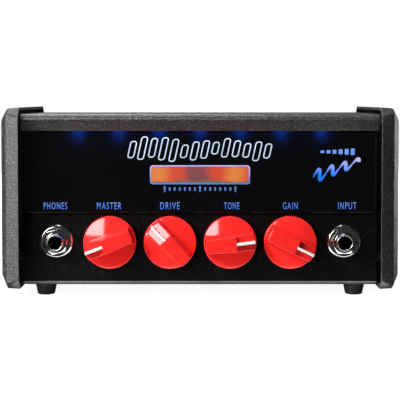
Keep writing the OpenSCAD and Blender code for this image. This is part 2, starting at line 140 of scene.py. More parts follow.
class AmpStageSettings(bpy.types.PropertyGroup):
    """Camera, lights and floor."""
    camera_distance: length_setting(
        "Camera Distance", "Distance from the camera to the middle of the box", 0.620, 0.3, 3.0)
    softbox_power: watts_setting("Softbox Power", "Power of the large light at the upper left", 18.0)
    rim_power: watts_setting("Side Light Power", "Power of the light at the right", 1.6)


# ---- Shapes, in millimetres ----

def soften(points, radius, steps=4, closed=False):
    """Rounds the corners of a path of any dimension. Each corner becomes a quadratic Bezier curve
    that starts and ends `radius` from it, or 0.45 of the shorter step where that is less. `radius` is
    one number or a list with one for each point."""
    p, radius = np.asarray(points, float), np.array(radius, float, ndmin=1)[:, None]
    before, after = np.roll(p, 1, -2) - p, np.roll(p, -1, -2) - p
    reach_b = np.linalg.norm(before, axis=-1, keepdims=True)
    reach_a = np.linalg.norm(after, axis=-1, keepdims=True)
    cut = np.minimum(radius, 0.45 * np.minimum(reach_b, reach_a))
    a = p + before / np.maximum(reach_b, 1e-9) * cut
    b = p + after / np.maximum(reach_a, 1e-9) * cut
    t = np.linspace(0, 1, steps + 1)[:, None]
    a, b, c = a[..., None, :], b[..., None, :], p[..., None, :]
    curve = (1 - t) ** 2 * a + 2 * t * (1 - t) * c + t ** 2 * b
    if closed:
        return curve.reshape(*p.shape[:-2], -1, p.shape[-1])
    return np.vstack([p[:1], curve[1:-1].reshape(-1, p.shape[-1]), p[-1:]])


def arc(centre, r, start, end, steps=8):
    """Points on a circle in a plane, from one angle in degrees to another."""
    a = np.radians(np.linspace(start, end, steps + 1))
    return np.stack([centre[0] + r * np.cos(a), centre[1] + r * np.sin(a)], -1)


def circle(centre, r, steps=40):
    return arc(centre, r, 0, 360, steps)[:-1]


def rounded_box(centre, size, r, steps=5):
    """A rectangle's outline with round corners, anticlockwise."""
    x, y = np.array(size) / 2
    corners = np.array([[-x, -y], [x, -y], [x, y], [-x, y]]) + np.asarray(centre)
    return soften(corners, r, steps, closed=True)


def moved_in(path, t):
    """An open path moved to its left by t: each point goes along the sum of its two steps'
    normals, divided by one plus their cosine, so that the wall keeps its thickness."""
    step = np.diff(path, axis=0)
    normal = np.stack([-step[:, 1], step[:, 0]], -1) / np.linalg.norm(step, axis=1, keepdims=True)
    a, b = np.vstack([normal[:1], normal]), np.vstack([normal, normal[-1:]])
    return path + (a + b) * t / (1 + (a * b).sum(1, keepdims=True))


def grown(loop, t):
    """A closed anticlockwise outline moved outwards by t, along the sum of its two steps' normals
    divided by one plus their cosine."""
    step = np.roll(loop, -1, 0) - loop
    length = np.linalg.norm(step, axis=1, keepdims=True)
    keep = length[:, 0] > 1e-6
    loop, step = loop[keep], step[keep] / length[keep]
    b = np.stack([step[:, 1], -step[:, 0]], -1)
    a = np.roll(b, 1, 0)
    return loop + (a + b) * t / np.maximum(1 + (a * b).sum(1, keepdims=True), 0.2)


class Shell:
    """Collects the points and faces of one piece."""

    def __init__(self):
        self.points, self.faces, self.count = [], [], 0

    def add(self, points, faces):
        self.points.append(np.asarray(points, float).reshape(-1, 3))
        self.faces.extend((np.asarray(faces) + self.count).tolist())
        self.count += len(self.points[-1])

    def grid(self, points, wrap_rows=False, wrap_cols=False, skip=()):
        """Four-sided faces between neighbours of a rows by columns array of points."""
        rows, cols = points.shape[:2]
        r = np.array([i for i in range(rows if wrap_rows else rows - 1) if i not in skip])[:, None]
        c = np.arange(cols if wrap_cols else cols - 1)[None, :]
        r1, c1 = (r + 1) % rows, (c + 1) % cols
        corners = np.broadcast_arrays(r * cols + c, r * cols + c1, r1 * cols + c1, r1 * cols + c)
        self.add(points, np.stack(corners, -1).reshape(-1, 4))

    def cap(self, ring, holes=()):
        """A flat face inside a ring of points, with holes."""
        loops = [np.asarray(ring, float)] + [np.asarray(h, float) for h in holes]
        self.add(np.vstack(loops), tessellate_polygon([[Vector(v) for v in loop] for loop in loops]))

    def plate(self, outline, y0, y1, holes=(), edge=0.0):
        """A flat plate across Y: an outline in (x, z) with holes. Its walls end in quarter circles of
        radius `edge`: the outline moves in, and each hole's out, by one minus the sine of an angle
        while the depth moves by one minus its cosine."""
        a = np.radians(np.linspace(0, 90, 4 if edge else 1))
        inset = np.concatenate([edge * (1 - np.sin(a)), edge * (1 - np.sin(a[::-1]))])
        depth = np.concatenate([y0 + edge * (1 - np.cos(a)), y1 - edge * (1 - np.cos(a[::-1]))])
        ends = []
        for sign, loop in [(-1, outline)] + [(1, h) for h in holes]:
            wall = np.stack([np.insert(grown(loop, sign * i), 1, y, 1) for i, y in zip(inset, depth)])
            self.grid(wall, wrap_cols=True)
            ends.append((wall[0], wall[-1]))
        for face in zip(*ends):
            self.cap(face[0], face[1:])

    def turned(self, profile, centre, out=-1, steps=64):
        """(radius, height) pairs turned round an axis along Y through centre. A height is measured
        along Y, towards the front where out is -1."""
        a = np.linspace(0, 2 * math.pi, steps, endpoint=False)[:, None]
        r, h = np.asarray(profile, float).T
        x, y, z = centre
        self.grid(np.stack([x + r * np.cos(a), y + out * h + 0 * a, z + r * np.sin(a)], -1), wrap_rows=True)

    def ribbon(self, path, width, y0, y1, closed=True):
        """A flat band of one width that follows a path in (x, z), as a closed strip."""
        path = np.asarray(path, float)
        if closed:
            step = np.roll(path, -1, 0) - np.roll(path, 1, 0)
        else:
            step = np.gradient(path, axis=0)
        side = np.stack([-step[:, 1], step[:, 0]], -1)
        side *= width / 2 / np.maximum(np.linalg.norm(side, axis=1, keepdims=True), 1e-9)
        left, right = path + side, path - side
        ring = np.stack([
            np.insert(left, 1, y0, 1), np.insert(right, 1, y0, 1),
            np.insert(right, 1, y1, 1), np.insert(left, 1, y1, 1)], 1)
        self.grid(ring, wrap_rows=closed, wrap_cols=True)
        if not closed:
            self.cap(ring[0])
            self.cap(ring[-1])

    def bent_sheet(self, path, t, x0, x1, holes):
        """A bent sheet: its section is a path in (y, z) and the same path moved in by t, carried
        from x0 to x1. holes maps a flat step of the path to outlines in (x, distance along it)."""
        inner = moved_in(path, t)
        ring = np.vstack([path, inner[::-1]])
        n = len(path)
        rows = np.stack([np.insert(ring, 0, x, 1) for x in (x0, x1)], 1)
        skip = [i for step in holes for i in (step, 2 * n - 2 - step)]
        self.grid(rows, wrap_rows=True, skip=skip)
        for x in (x0, x1):
            self.cap(np.insert(ring, 0, x, 1))
        for step, loops in holes.items():
            along = path[step + 1] - path[step]
            along = along / np.linalg.norm(along)
            faces = []
            for side, line in ((0, path), (1, inner)):
                a, b = line[step], line[step + 1]
                rect = np.array([[x0, *a], [x1, *a], [x1, *b], [x0, *b]])
                normal = np.array([-along[1], along[0]]) * t * side
                cut = [np.insert(path[step] + normal + loop[:, 1:] * along, 0, loop[:, 0], 1)
                       for loop in loops]
                self.cap(rect, cut)
                faces.append(cut)
            for outer, back in zip(*faces):
                self.grid(np.stack([outer, back]), wrap_cols=True)


def make_piece(name, shell, look, body="enclosure", stands_for=(), sharp=35):
    """Turns a shell into a mesh object with its doubles merged and its faces outwards. Its material slot
    holds its look's material."""
    mesh = bpy.data.meshes.new(name)
    mesh.from_pydata((np.vstack(shell.points) * MM).tolist(), [], shell.faces)
    work = bmesh.new()
    work.from_mesh(mesh)
    bmesh.ops.remove_doubles(work, verts=work.verts, dist=2e-6)
    bmesh.ops.recalc_face_normals(work, faces=work.faces)
    work.to_mesh(mesh)
    work.free()
    mesh.polygons.foreach_set("use_smooth", np.ones(len(mesh.polygons), bool))
    mesh.set_sharp_from_angle(angle=math.radians(sharp))
    mesh.materials.append(LOOKS[look])
    piece = bpy.data.objects.new(name, mesh)
    bpy.context.scene.collection.objects.link(piece)
    flats = piece.modifiers.new("Flat Faces", "WEIGHTED_NORMAL")
    flats.keep_sharp = True
    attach(piece, body)
    if stands_for:
        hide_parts(*stands_for)
    return piece


# ---- Materials ----

def add(tree, kind, inputs=(), **settings):
    """Adds a shader node, sets it up, and fills or links its inputs."""
    node = tree.nodes.new("ShaderNode" + kind)
    for key, value in settings.items():
        setattr(node, key, value)
    for key, value in dict(inputs).items():
        if isinstance(value, bpy.types.NodeSocket):
            tree.links.new(value, node.inputs[key])
        else:
            node.inputs[key].default_value = value
    return node


def feed(tree, to, sources):
    """Links each source to the input of its name."""
    for key, source in sources.items():
        tree.links.new(source, to[key])


def maths(tree, operation, *values):
    return add(tree, "Math", dict(enumerate(values)), operation=operation).outputs[0]


def vectors(tree, operation, a, b):
    second = "Scale" if operation == "SCALE" else 1
    return add(tree, "VectorMath", {0: a, second: b}, operation=operation).outputs[0]


def mix(tree, factor, a, b):
    return add(tree, "Mix", {0: factor, 6: a, 7: b}, data_type="RGBA").outputs[2]


def ramp(tree, value, low, high, to_low=0.0, to_high=1.0):
    return add(tree, "MapRange", {0: value, 1: low, 2: high, 3: to_low, 4: to_high},
               interpolation_type="SMOOTHSTEP").outputs[0]


def object_place(tree):
    return add(tree, "TexCoord").outputs["Object"]


def noise(tree, scale, detail, place=None, output="Fac", **inputs):
    inputs.update(Vector=place or object_place(tree), Scale=scale, Detail=detail)
    return add(tree, "TexNoise", inputs).outputs[output]


def effect(name, inputs, outputs):
    """An empty node group and its two end nodes. How many values an input's default has, or an output
    is said to have, makes it a number, a direction or a colour."""
    group = bpy.data.node_groups.new(name, "ShaderNodeTree")
    kinds = {1: "NodeSocketFloat", 3: "NodeSocketVector", 4: "NodeSocketColor"}
    for key, value in inputs.items():
        kind = kinds[np.size(value)]
        group.interface.new_socket(key, in_out="INPUT", socket_type=kind).default_value = value
    for key, size in outputs.items():
        group.interface.new_socket(key, in_out="OUTPUT", socket_type=kinds[size])
    return group, group.nodes.new("NodeGroupInput").outputs, group.nodes.new("NodeGroupOutput").inputs


def grain_effect():
    """Leather-like structure paint: rounded cells between shallow creases, broken up by noise, and a mask for
    painted glints on the high spots.
    """
    group, given, end = effect("Paint Grain", {"Cell Size": 0.001, "Fleck": 0.5},
                               {"Height": 1, "Fleck Mask": 1})
    place, cell = object_place(group), given["Cell Size"]
    per_metre = maths(group, "DIVIDE", 1.0, cell)
    bend = noise(group, maths(group, "MULTIPLY", per_metre, 0.8), 2.0, place, "Color")
    shift = vectors(group, "SUBTRACT", bend, (0.5, 0.5, 0.5))
    moved = vectors(group, "ADD", place, vectors(group, "SCALE", shift, maths(group, "MULTIPLY", cell, 0.5)))
    cells = add(group, "TexVoronoi", {"Vector": moved, "Scale": per_metre}, feature="SMOOTH_F1")
    fine = noise(group, maths(group, "MULTIPLY", per_metre, 2.6), 3.0, place)
    bump = maths(group, "SUBTRACT", 1.0, ramp(group, cells.outputs["Distance"], 0.12, 0.62))
    height = maths(group, "ADD", maths(group, "MULTIPLY", bump, 0.7), maths(group, "MULTIPLY", fine, 0.3))
    # The glint mask: where the grain is high, a highlight is painted into the colour
    painted_glint = maths(group, "MULTIPLY", ramp(group, height, 0.5, 0.8), given["Fleck"])
    feed(group, end, {"Height": height, "Fleck Mask": painted_glint})


def smudge_effect():
    """Slow roughness change from handling and dust, between two values."""
    group, given, end = effect("Handling", {"Clean": 0.2, "Worn": 0.35, "Size": 0.02},
                               {"Roughness": 1})
    cloud = noise(group, maths(group, "DIVIDE", 1.0, given["Size"]), 5.0, Roughness=0.6)
    feed(group, end, {"Roughness": ramp(group, cloud, 0.35, 0.68, given["Clean"], given["Worn"])})


def tint_effect():
    """A colour that drifts lighter and darker over a surface, as pigment and dust make it."""
    group, given, end = effect("Tint Drift", {"Colour": (0.5, 0.5, 0.5, 1), "Amount": 0.2, "Size": 0.01},
                               {"Colour": 4})
    cloud = noise(group, maths(group, "DIVIDE", 1.0, given["Size"]), 4.0)
    gain = maths(group, "MULTIPLY_ADD", maths(group, "SUBTRACT", cloud, 0.5),
                 maths(group, "MULTIPLY", given["Amount"], 2.0), 1.0)
    feed(group, end, {"Colour": vectors(group, "SCALE", given["Colour"], gain)})


def lines_effect():
    """Fine lines along one direction, as brushing leaves them: noise stretched by a factor on each
    axis. The lines are low where they are smooth and high where they are rough."""
    group, given, end = effect(
        "Brushed Lines", {"Stretch": (400.0, 30.0, 400.0), "Smooth": 0.2, "Rough": 0.35},
        {"Height": 1, "Roughness": 1})
    lines = noise(group, 1.0, 4.0, vectors(group, "MULTIPLY", object_place(group), given["Stretch"]))
    rough = ramp(group, lines, 0.3, 0.7, given["Smooth"], given["Rough"])
    feed(group, end, {"Height": lines, "Roughness": rough})


def relief_effect():
    """The even fine texture that a mould leaves on plastic or rubber."""
    group, given, end = effect("Mould Texture", {"Size": 0.0004}, {"Height": 1})
    feed(group, end, {"Height": noise(group, maths(group, "DIVIDE", 1.0, given["Size"]), 2.0)})


def glow_effect():
    """Light in an engraved line: one colour at the bottom changes to another at the top, with dimmer
    places where the cut is uneven."""
    group, given, end = effect("Engraved Glow", {
        "Low Colour": (0, 0, 1, 1), "High Colour": (1, 1, 1, 1), "Low Z": 0.0, "High Z": 0.1},
        {"Colour": 4})
    place = object_place(group)
    z = add(group, "SeparateXYZ", {0: place}).outputs[2]
    up = ramp(group, z, given["Low Z"], given["High Z"])
    colour = mix(group, up, given["Low Colour"], given["High Colour"])
    dim = mix(group, 0.5, given["Low Colour"], BLACK)
    uneven = ramp(group, noise(group, 160.0, 2.0, place), 0.35, 0.7, 0.0, 0.35)
    feed(group, end, {"Colour": mix(group, uneven, colour, dim)})


def place_effect(tree, name, **values):
    node = tree.nodes.new("ShaderNodeGroup")
    node.node_tree = bpy.data.node_groups[name]
    for key, value in values.items():
        node.inputs[key.replace("_", " ")].default_value = value
    return node.outputs


def new_look(name, **constants):
    """A material with a Principled shader whose constant values are set on its own sockets."""
    look = bpy.data.materials.new(name)
    look.use_nodes = True
    shader = look.node_tree.nodes["Principled BSDF"]
    for key, value in constants.items():
        shader.inputs[key.replace("_", " ")].default_value = value
    return look, look.node_tree, shader.inputs


def tinted(tree, colour, amount, size):
    return place_effect(tree, "Tint Drift", Colour=(*colour, 1), Amount=amount, Size=size)["Colour"]


def worn(tree, rough, size):
    return place_effect(tree, "Handling", Clean=rough[0], Worn=rough[1], Size=size)["Roughness"]


def relief(tree, height, distance):
    return add(tree, "Bump", {"Height": height, "Strength": 1.0, "Distance": distance * MM}).outputs[0]


def plain_look(name, colour, rough, drift=0.18, size=0.006, bump=0.0, bump_size=0.0004, **constants):
    """A moulded or plated finish: drifting colour, uneven roughness and a fine surface texture."""
    look, tree, to = new_look(name, **constants)
    feed(tree, to, {"Base Color": tinted(tree, colour, drift, size),
                    "Roughness": worn(tree, rough, size * 2)})
    if bump:
        fine = place_effect(tree, "Mould Texture", Size=bump_size)["Height"]
        feed(tree, to, {"Normal": relief(tree, fine, bump)})
    return look


def painted_look(name, colour, cell, depth, rough, painted_glint, **constants):
    """Black texture paint: grain relief, painted glints (a lighter colour on its high spots that stands in
    for highlights) and uneven gloss.
    """
    look, tree, to = new_look(name, **constants)
    grain = place_effect(tree, "Paint Grain", Cell_Size=cell, Fleck=painted_glint)
    # The colour of the painted glints: a highlight painted into the base colour
    high = tuple(min(1.0, c * 5 + 0.02) for c in colour)
    base = mix(tree, grain["Fleck Mask"], tinted(tree, colour, 0.25, cell * 6), (*high, 1))
    feed(tree, to, {"Base Color": base, "Roughness": worn(tree, rough, cell * 5),
                    "Normal": relief(tree, grain["Height"], depth)})
    return look


def brushed_look(name, colour, rough, stretch, **constants):
    """Sheet or turned metal with fine lines along one direction."""
    look, tree, to = new_look(name, Metallic=1.0, **constants)
    lines = place_effect(tree, "Brushed Lines", Stretch=stretch, Smooth=rough[0], Rough=rough[1])
    feed(tree, to, {"Base Color": tinted(tree, colour, 0.12, 0.008), "Roughness": lines["Roughness"],
                    "Normal": relief(tree, lines["Height"], 0.004)})
    return look


def lit_look(name, top, low, z_low, z_high, strength):
    """A lit line that changes from one colour at the bottom to another at the top."""
    look, tree, to = new_look(name, Roughness=0.3, Emission_Strength=strength)
    glow = place_effect(tree, "Engraved Glow", Low_Colour=(*low, 1), High_Colour=(*top, 1),
                        Low_Z=z_low * MM, High_Z=z_high * MM)["Colour"]
    feed(tree, to, {"Emission Color": glow, "Base Color": mix(tree, 0.9, glow, BLACK)})
    return look


def fascia_look(settings):
    """Glossy black acrylic. Each light above its top edge spreads as a bell-shaped spot: the distance
    to the nearest light across, and the depth below the edge, both squared over their widths."""
    lit_top, lit_half = 83.0, 69.5
    look, tree, to = new_look("acrylic_black", IOR=1.45, Coat_Weight=0.1, Coat_Roughness=0.02,
                              Emission_Strength=1.0)
    x, y, z = add(tree, "SeparateXYZ", {0: object_place(tree)}).outputs
    across = maths(tree, "PINGPONG", x, settings.led_pitch / 2)
    depth = maths(tree, "SUBTRACT", lit_top * MM, z)

    def bell(*widths):
        squares = [maths(tree, "POWER", maths(tree, "DIVIDE", value, width * MM), 2.0)
                   for value, width in zip((across, depth), widths)]
        return maths(tree, "EXPONENT", maths(tree, "MULTIPLY", maths(tree, "ADD", *squares), -1.0))

    core, halo = bell(3.1, 4.4), bell(7.0, 9.0)
    inside = maths(tree, "LESS_THAN", maths(tree, "ABSOLUTE", x), lit_half * MM)
    glow = maths(tree, "MULTIPLY", inside, maths(tree, "MULTIPLY_ADD", halo, 0.02, core))
    feed(tree, to, {"Emission Color": vectors(tree, "SCALE", tuple(settings.led_colour), glow),
                    "Base Color": tinted(tree, (0.0015, 0.0015, 0.002), 0.3, 0.03),
                    "Roughness": worn(tree, (0.04, 0.09), 0.03)})
    return look


def window_look(settings):
    """The lit window: warm red with two amber patches, a muted middle, and a dull uneven lower edge."""
    amber_colour, middle_colour = (0.78, 0.24, 0.055, 1), (0.26, 0.07, 0.085, 1)
    dull_colour, top_colour = (0.17, 0.15, 0.10, 1), (0.55, 0.06, 0.05, 1)
    look, tree, to = new_look("window_glow", Roughness=0.25, IOR=1.49, Emission_Strength=0.70)
    place = object_place(tree)
    x, y, z = add(tree, "SeparateXYZ", {0: place}).outputs
    lo, hi = WINDOW[0][2] + 2.5, WINDOW[1][2] - 2.5
    drift = maths(tree, "SUBTRACT", noise(tree, 130.0, 3.0, place), 0.5)
    wander = maths(tree, "ADD", x, maths(tree, "MULTIPLY", drift, 6 * MM))
    centre = maths(tree, "ABSOLUTE", maths(tree, "ADD", wander, 1.5 * MM))
    amber = maths(tree, "ABSOLUTE", maths(tree, "SUBTRACT", centre, 19 * MM))
    rise = maths(tree, "ADD", z, maths(tree, "MULTIPLY", drift, 3.2 * MM))
    colour = mix(tree, ramp(tree, amber, 1 * MM, 8 * MM), amber_colour, (*settings.window_colour, 1))
    colour = mix(tree, ramp(tree, centre, 2 * MM, 10 * MM), middle_colour, colour)
    colour = mix(tree, ramp(tree, rise, (lo + 0.6) * MM, (lo + 1.9) * MM), dull_colour, colour)
    colour = mix(tree, ramp(tree, z, (hi - 1.5) * MM, hi * MM, 0.0, 0.4), colour, top_colour)
    feed(tree, to, {"Emission Color": colour, "Base Color": mix(tree, 0.8, colour, BLACK)})
    return look


def board_look():
    """Green circuit board: solder mask over fine copper tracks in two directions."""
    look, tree, to = new_look("circuit_board", Coat_Weight=0.2)
    tracks = add(tree, "TexBrick", {
        "Vector": object_place(tree), "Color1": (0.012, 0.085, 0.03, 1), "Color2": (0.016, 0.11, 0.04, 1),
        "Mortar": (0.05, 0.22, 0.09, 1), "Scale": 90.0, "Mortar Size": 0.03, "Brick Width": 0.9,
        "Row Height": 0.22}).outputs
    feed(tree, to, {"Base Color": tracks["Color"], "Roughness": worn(tree, (0.3, 0.45), 0.01),
                    "Normal": relief(tree, tracks["Fac"], 0.03)})
    return look


LOOKS = {}

# Finishes have the names of the frame's material slots, apart from these slots and pieces
BY_SLOT = {"socket_body": "moulded", "black_plastic": "moulded", "steel_paint": "panel_paint"}
BY_NODE = {"ribbon_cable": "ribbon", "cheek_spacers": "black_screws", "aux_nut": "socket_nickel",
           "dc_inlet_nut": "socket_nickel"}


class AMP_OT_finishes(bpy.types.Operator):
    """Make the paint, plastic, metal and glowing finishes, and give the frame's nodes theirs"""
    bl_idname = "amp_head.finishes"
    bl_label = "Finishes"

    def execute(self, context):
        body, glow, knob = context.scene.amp_body, context.scene.amp_glow, context.scene.amp_knobs
        for make_effect in (
                grain_effect, smudge_effect, tint_effect, lines_effect, relief_effect, glow_effect):
            make_effect()
        paint, cell = tuple(body.paint_colour), body.grain_size
        fine = (1 / 0.0003,) * 3
        LOOKS.update(
            cheek_paint=painted_look("cheek_paint", paint, cell, 0.10, (0.31, 0.39), 1.0,
                                     Specular_IOR_Level=0.85),
            # Light grey paint for the front bottom bend: a painted reflection of the bright floor
            lip_paint=painted_look("lip_paint", (0.13, 0.13, 0.13), cell, 0.02, (0.4, 0.5), 0.1,
                                   Specular_IOR_Level=0.5),
            panel_paint=painted_look("panel_paint", [c * 0.1 for c in paint], cell * 1.6, 0.02,
                                     (0.5, 0.66), 0.15, Specular_IOR_Level=0.04),
            zinc_steel=brushed_look("zinc_sheet", (0.42, 0.43, 0.45), (0.3, 0.5), (400, 30, 400)),
            fascia_acrylic=fascia_look(glow),
            window_amber=window_look(glow),
            engraving=lit_look("engraving_light", (0.75, 0.88, 1.0), glow.engraving_colour, 62, 80, 1.0),
            labels=lit_look("label_light", (0.17, 0.34, 0.90), (0.06, 0.19, 0.82), 43, 48, 0.95),
            sign=lit_look("sign_light", (0.55, 0.55, 0.92), (0.01, 0.19, 0.88), 60, 71, 1.0),
            marks=lit_look("mark_light", (0.20, 0.36, 0.85), (0.06, 0.16, 0.62), 52, 55, 0.9),
            window_line=lit_look("window_line_light", (0.50, 0.45, 0.86), (0.08, 0.23, 0.72), 57, 64, 1.0),
            circuit_board=board_look(),
            lamp=plain_look("lamp_lens", (0.75, 0.82, 0.95), (0.1, 0.2), Transmission_Weight=0.4),
            knob_red=plain_look("knob_red", tuple(knob.knob_colour), (0.07, 0.13), drift=0.05, size=0.01,
                            Coat_Weight=0.1, Coat_Roughness=0.03),
            pointer_white=plain_look("pointer_white", tuple(knob.pointer_colour), (0.2, 0.3), drift=0.06),
            bare_steel=brushed_look("bright_steel", (0.55, 0.56, 0.58), (0.18, 0.36), fine),
            socket_nickel=plain_look("polished_nickel", (0.58, 0.56, 0.54), (0.10, 0.14), drift=0.04,
                                     size=0.012, Metallic=1.0),
            moulded=plain_look("moulded_black", (0.018, 0.018, 0.02), (0.32, 0.48), bump=0.012,
                               bump_size=0.0006),
            contact_metal=brushed_look("contact_metal", (0.72, 0.64, 0.52), (0.2, 0.35), fine),
            rocker_red=plain_look("rocker_red", (0.42, 0.008, 0.01), (0.2, 0.34), bump=0.006),
            capacitor_sleeve=plain_look("capacitor_sleeve", (0.012, 0.02, 0.075), (0.18, 0.3)),
            heat_sink_alloy=brushed_look("anodised_alloy", (0.13, 0.135, 0.145), (0.35, 0.5), (500, 500, 60)),
            standoff_brass=brushed_look("turned_brass", (0.72, 0.53, 0.24), (0.2, 0.35), fine),
            black_screws=plain_look("black_oxide_screw", (0.03, 0.03, 0.032), (0.3, 0.42), Metallic=0.8),
            foot_rubber=plain_look("foot_rubber", (0.014, 0.014, 0.014), (0.62, 0.8), bump=0.02,
                                   bump_size=0.0008),
            ribbon=brushed_look("ribbon_grey", (0.30, 0.32, 0.35), (0.45, 0.6), (900, 10, 10)),
        )
        for part in frame["record"]["subparts"]:
            node = frame["nodes"][part["node"]]
            finish = BY_SLOT.get(part["material_slot"], part["material_slot"])
            look = LOOKS[BY_NODE.get(part["node"], finish)]
            for slot in node.material_slots:
                slot.material = look
        return {"FINISHED"}


# ---- Pieces ----

def cheek_shell(side, edge):
    """A pressed cheek. Each station along its depth is a distance from the middle, an inset from the
    front and back, insets from below and above, and a corner cut. The stations run over the outer
    skin and back along the inner one, softened, and each one's octagon has softened corners."""
    rim, outer = CHEEK[0][0], CHEEK[1][0]
    stations = soften([
        [outer, 7.6, 7.9, 7.4, 1.5, 1.5], [outer, 6.1, 6.4, 5.9, 1.5, 1.5],
        [outer - 2.7, 2.6, 1.34, 1.34, 2.0, 1.6],
        [outer - 3.2, 2.4, 0.4, 0.5, 3.1, 2.5], [rim, 0, 0, 0, 6, 4.8],
        [rim, 1.5, 1.5, 1.5, 5.4, 4.2], [outer - 4.3, 3.9, 2.5, 2.5, 1.8, 1.5],
        [outer - CHEEK_SHEET, 6.9, 7.2, 6.7, 1.3, 1.3], [outer - CHEEK_SHEET, 8.4, 8.7, 8.2, 1.3, 1.3]],
        edge, 4)
    x, inset, low, top, cut_y, cut_z = stations.T
    y0, y1 = CHEEK[0][1] + inset, CHEEK[1][1] - inset
    z0, z1 = CHEEK[0][2] + low, CHEEK[1][2] - top
    octagon = np.stack([
        np.stack([y0 + cut_y, z0], -1), np.stack([y1 - cut_y, z0], -1),
        np.stack([y1, z0 + cut_z], -1), np.stack([y1, z1 - cut_z], -1),
        np.stack([y1 - cut_y, z1], -1), np.stack([y0 + cut_y, z1], -1),
        np.stack([y0, z1 - cut_z], -1), np.stack([y0, z0 + cut_z], -1)], 1)
    rings = soften(octagon, 0.9, 4, closed=True)
    across = np.broadcast_to((side * x)[:, None, None], (*rings.shape[:2], 1))
    rings = np.concatenate([across, rings], -1)
    shell = Shell()
    shell.grid(rings, wrap_cols=True)
    head, inside = 2.95, outer - CHEEK_SHEET

    def hole(spot, r, x_at):
        return np.insert(circle(spot, r, 32), 0, side * x_at, 1)

    spots = [(y, z) for y in (-32, 32) for z in (19, 79)]
    shell.cap(rings[0], [hole(s, head, outer) for s in spots])
    shell.cap(rings[-1], [hole(s, SCREW_R, inside) for s in spots])
    for s in spots:
        sink = [hole(s, head, outer), hole(s, SCREW_R, inside + 0.15), hole(s, SCREW_R, inside)]
        shell.grid(np.stack(sink), wrap_cols=True)
    return shell


class AMP_OT_cheeks(bpy.types.Operator):
    """Make the two pressed side cheeks"""
    bl_idname = "amp_head.cheeks"
    bl_label = "Side Cheeks"

    def execute(self, context):
        edge = context.scene.amp_body.edge_radius / MM
        for name, side in (("left_cheek", -1), ("right_cheek", 1)):
            make_piece(name + "_pressing", cheek_shell(side, edge), "cheek_paint", stands_for=[name])
        return {"FINISHED"}


class AMP_OT_sheet_metal(bpy.types.Operator):
    """Make the slotted cover with its visor, and the U-shaped chassis with its cut-outs"""
    bl_idname = "amp_head.sheet_metal"
    bl_label = "Cover and Chassis"

    def execute(self, context):
        top, front, back = COVER[1][2], CHEEK[0][1], COVER[1][1]
        path = np.vstack([
            [[back, top - 12]], arc((back - BEND, top - BEND), BEND, 0, 90, 6),
            arc((front + 8.2, top - 2.4), 2.4, 90, 205, 12), [[front + 9.2, top - VISOR]]])
        flat = 7
        slots = [rounded_box(((i - 4) * 9, path[flat][0] - row), (2.4, 20), 1.2, 6)
                 for i in range(9) for row in (2, 28)]
        cover = Shell()
        cover.bent_sheet(path, SHEET, COVER[0][0], COVER[1][0], {flat: slots})
        make_piece("cover_sheet", cover, "cheek_paint", stands_for=["top_cover"],
                   sharp=50)

        low = CHASSIS[0][2]
        path = np.vstack([
            [[PANEL_Y, top - SHEET - 0.1]],
            arc((PANEL_Y + BEND, low + BEND), BEND, 180, 270, 6),
            arc((REAR_Y - BEND, low + BEND), BEND, 270, 360, 6), [[REAR_Y, CHASSIS[1][2]]]])
        front, floor, rear = 0, 7, 14

        def on_front(x, z):
            return x, path[front][1] - z

        def on_rear(x, z):
            return x, z - path[rear][1]

        def x_of(node):
            return middle(node)[0]

        front_holes = [circle(on_front(x_of("knob_" + k), CONTROL_Z), 3.6) for k in KNOBS]
        front_holes += [circle(on_front(x_of(n), CONTROL_Z), THREAD_HOLE_R)
                        for n in ("phones_jack", "input_jack")]
        front_holes.append(rounded_box(on_front(0, middle("glow_window")[2]), (49.4, 9.3), 0.3))
        rear_holes = [circle(on_rear(x_of(n), CONTROL_Z), r) for n, r in (
            ("speaker_jack", THREAD_HOLE_R), ("aux_jack", 3.1), ("dc_inlet", 4.1), ("resonance_button", 3.6))]
        rear_holes.append(rounded_box(on_rear(*middle("power_switch")[[0, 2]]), (13, 19.4), 0.5))
        rear_holes += [circle(on_rear(x, middle("cover_screws")[2]), SCREW_R, 24) for x in (-76, 0, 76)]
        floor_holes = [circle((x_of(n), middle(n)[1] - path[floor][0]), SCREW_R, 24) for n in (
            "foot_front_left", "foot_front_right", "foot_rear_left", "foot_rear_right")]
        chassis = Shell()
        chassis.bent_sheet(path, SHEET, CHASSIS[0][0], CHASSIS[1][0],
                           {front: front_holes, floor: floor_holes, rear: rear_holes})
        sheet = make_piece("chassis_sheet", chassis, "panel_paint", stands_for=["chassis"],
                           sharp=50).data
        # The front is smooth black, its bottom bend has light grey paint that stands in for the bright
        # floor's reflection, and the rest has the texture paint
        sheet.materials.append(LOOKS["lip_paint"])
        sheet.materials.append(LOOKS["cheek_paint"])
        spots = np.empty(len(sheet.polygons) * 3)
        sheet.polygons.foreach_get("center", spots)
        x, y, z = spots.reshape(-1, 3).T / MM
        finish = np.where(y > PANEL_Y + BEND, 2, np.where(z < low + BEND, 1, 0))
        sheet.polygons.foreach_set("material_index", finish.astype(np.int32))
        return {"FINISHED"}


